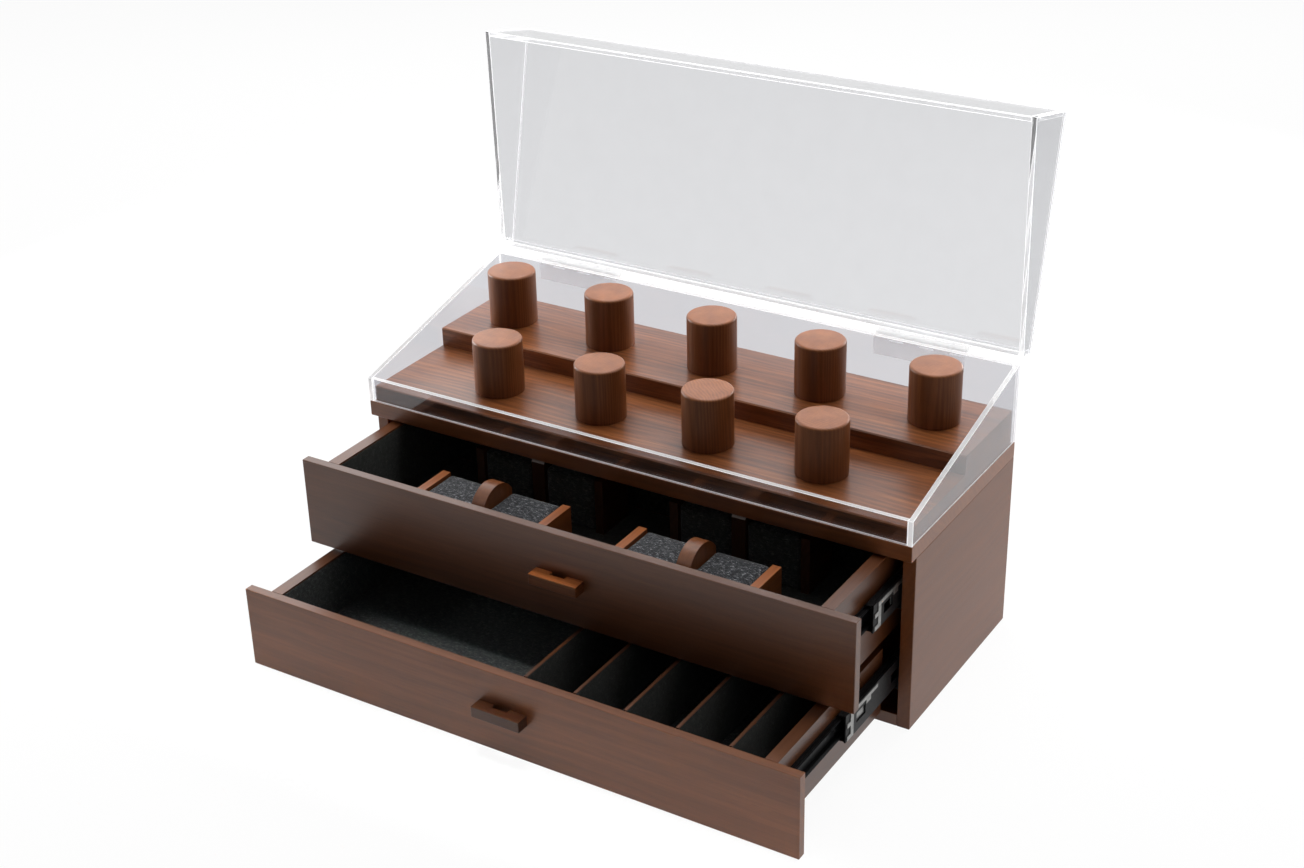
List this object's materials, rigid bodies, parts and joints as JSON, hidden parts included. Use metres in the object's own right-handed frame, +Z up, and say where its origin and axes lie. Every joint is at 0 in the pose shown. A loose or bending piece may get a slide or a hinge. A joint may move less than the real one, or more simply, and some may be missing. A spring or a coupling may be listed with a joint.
{
  "type": "watch display case",
  "caption": "Wooden display case with stepped watch pegs under a clear sloping cover with a hinged lid, and two full-extension drawers with felt, rests and dividers.",
  "frame": {"origin": "centre of the cabinet's underside", "axes": "+X to the user's right along the width, +Y to the back where the lid hinges are, +Z up"},
  "size_m": [0.6, 0.5252, 0.5207],
  "materials": {
    "walnut_boards": "satin lacquer over reddish-brown stain",
    "turned_walnut": "satin lacquer, end grain on top",
    "stained_plywood": "stained, matte",
    "clear_acrylic": "clear, polished edges",
    "clear_hinge_plastic": "clear moulded",
    "black_slide_steel": "black, semi-gloss",
    "bright_cage_steel": "zinc plated",
    "black_felt": "short felt",
    "grey_felt": "heathered felt"
  },
  "bodies": {
    "cabinet": {"top_board": "walnut_boards", "bottom_panel": "walnut_boards", "back_panel": "stained_plywood", "left_side_panel": "walnut_boards", "right_side_panel": "walnut_boards", "lower_tier": "walnut_boards", "upper_tier": "walnut_boards", "rear_pegs": "turned_walnut", "front_pegs": "turned_walnut", "cover_left_wall": "clear_acrylic", "cover_right_wall": "clear_acrylic", "cover_front_wall": "clear_acrylic", "cover_back_wall": "clear_acrylic", "left_hinge_fixed_leaf": "clear_hinge_plastic", "right_hinge_fixed_leaf": "clear_hinge_plastic", "hinge_pins": "clear_hinge_plastic", "upper_left_slide_cabinet_member": "black_slide_steel", "upper_right_slide_cabinet_member": "black_slide_steel", "lower_left_slide_cabinet_member": "black_slide_steel", "lower_right_slide_cabinet_member": "black_slide_steel"},
    "lid": {"lid_panel": "clear_acrylic", "lid_left_wall": "clear_acrylic", "lid_right_wall": "clear_acrylic", "lid_front_wall": "clear_acrylic", "lid_back_strip": "clear_acrylic", "left_hinge_lid_leaf": "clear_hinge_plastic", "right_hinge_lid_leaf": "clear_hinge_plastic"},
    "upper_drawer": {"upper_drawer_front": "walnut_boards", "upper_drawer_left_side": "walnut_boards", "upper_drawer_right_side": "walnut_boards", "upper_drawer_back": "walnut_boards", "upper_drawer_floor": "stained_plywood", "upper_drawer_lining": "black_felt", "upper_drawer_handle": "walnut_boards", "upper_left_slide_drawer_member": "black_slide_steel", "upper_right_slide_drawer_member": "black_slide_steel", "rest_cheeks": "walnut_boards", "rest_nose_bridges": "walnut_boards", "rest_felt_pads": "grey_felt"},
    "lower_drawer": {"lower_drawer_front": "walnut_boards", "lower_drawer_left_side": "walnut_boards", "lower_drawer_right_side": "walnut_boards", "lower_drawer_back": "walnut_boards", "lower_drawer_floor": "stained_plywood", "lower_drawer_lining": "black_felt", "lower_drawer_handle": "walnut_boards", "lower_left_slide_drawer_member": "black_slide_steel", "lower_right_slide_drawer_member": "black_slide_steel", "lower_drawer_dividers": "walnut_boards"},
    "upper_middle_members": {"upper_slide_middle_members": "black_slide_steel", "upper_slide_catches": "bright_cage_steel"},
    "upper_outer_cages": {"upper_slide_outer_ball_cages": "bright_cage_steel"},
    "upper_inner_cages": {"upper_slide_inner_ball_cages": "bright_cage_steel"},
    "lower_middle_members": {"lower_slide_middle_members": "black_slide_steel", "lower_slide_catches": "bright_cage_steel"},
    "lower_outer_cages": {"lower_slide_outer_ball_cages": "bright_cage_steel"},
    "lower_inner_cages": {"lower_slide_inner_ball_cages": "bright_cage_steel"}
  },
  "joints": [
    {"name": "lid_hinge", "type": "hinge", "parent": "cabinet", "child": "lid", "pos_m": [0, 0.1155, 0.279], "axis": [-1, 0, 0], "range_deg": [-102, 0]},
    {"name": "upper_drawer_slide", "type": "slide", "parent": "cabinet", "child": "upper_drawer", "axis": [0, -1, 0], "range_m": [-0.1076, 0.1004]},
    {"name": "upper_middle_members_slide", "type": "slide", "parent": "cabinet", "child": "upper_middle_members", "axis": [0, -1, 0], "range_m": [-0.0538, 0.0502]},
    {"name": "upper_outer_cages_slide", "type": "slide", "parent": "cabinet", "child": "upper_outer_cages", "axis": [0, -1, 0], "range_m": [-0.0269, 0.0251]},
    {"name": "upper_inner_cages_slide", "type": "slide", "parent": "cabinet", "child": "upper_inner_cages", "axis": [0, -1, 0], "range_m": [-0.0807, 0.0753]},
    {"name": "lower_drawer_slide", "type": "slide", "parent": "cabinet", "child": "lower_drawer", "axis": [0, -1, 0], "range_m": [-0.2057, 0.0023]},
    {"name": "lower_middle_members_slide", "type": "slide", "parent": "cabinet", "child": "lower_middle_members", "axis": [0, -1, 0], "range_m": [-0.10285, 0.00115]},
    {"name": "lower_outer_cages_slide", "type": "slide", "parent": "cabinet", "child": "lower_outer_cages", "axis": [0, -1, 0], "range_m": [-0.05142, 0.00057]},
    {"name": "lower_inner_cages_slide", "type": "slide", "parent": "cabinet", "child": "lower_inner_cages", "axis": [0, -1, 0], "range_m": [-0.15427, 0.00172]}
  ],
  "couplings": [
    {"joint": "upper_middle_members_slide", "follows": "upper_drawer_slide", "ratio": 0.5},
    {"joint": "upper_outer_cages_slide", "follows": "upper_drawer_slide", "ratio": 0.25},
    {"joint": "upper_inner_cages_slide", "follows": "upper_drawer_slide", "ratio": 0.75},
    {"joint": "lower_middle_members_slide", "follows": "lower_drawer_slide", "ratio": 0.5},
    {"joint": "lower_outer_cages_slide", "follows": "lower_drawer_slide", "ratio": 0.25},
    {"joint": "lower_inner_cages_slide", "follows": "lower_drawer_slide", "ratio": 0.75}
  ]
}
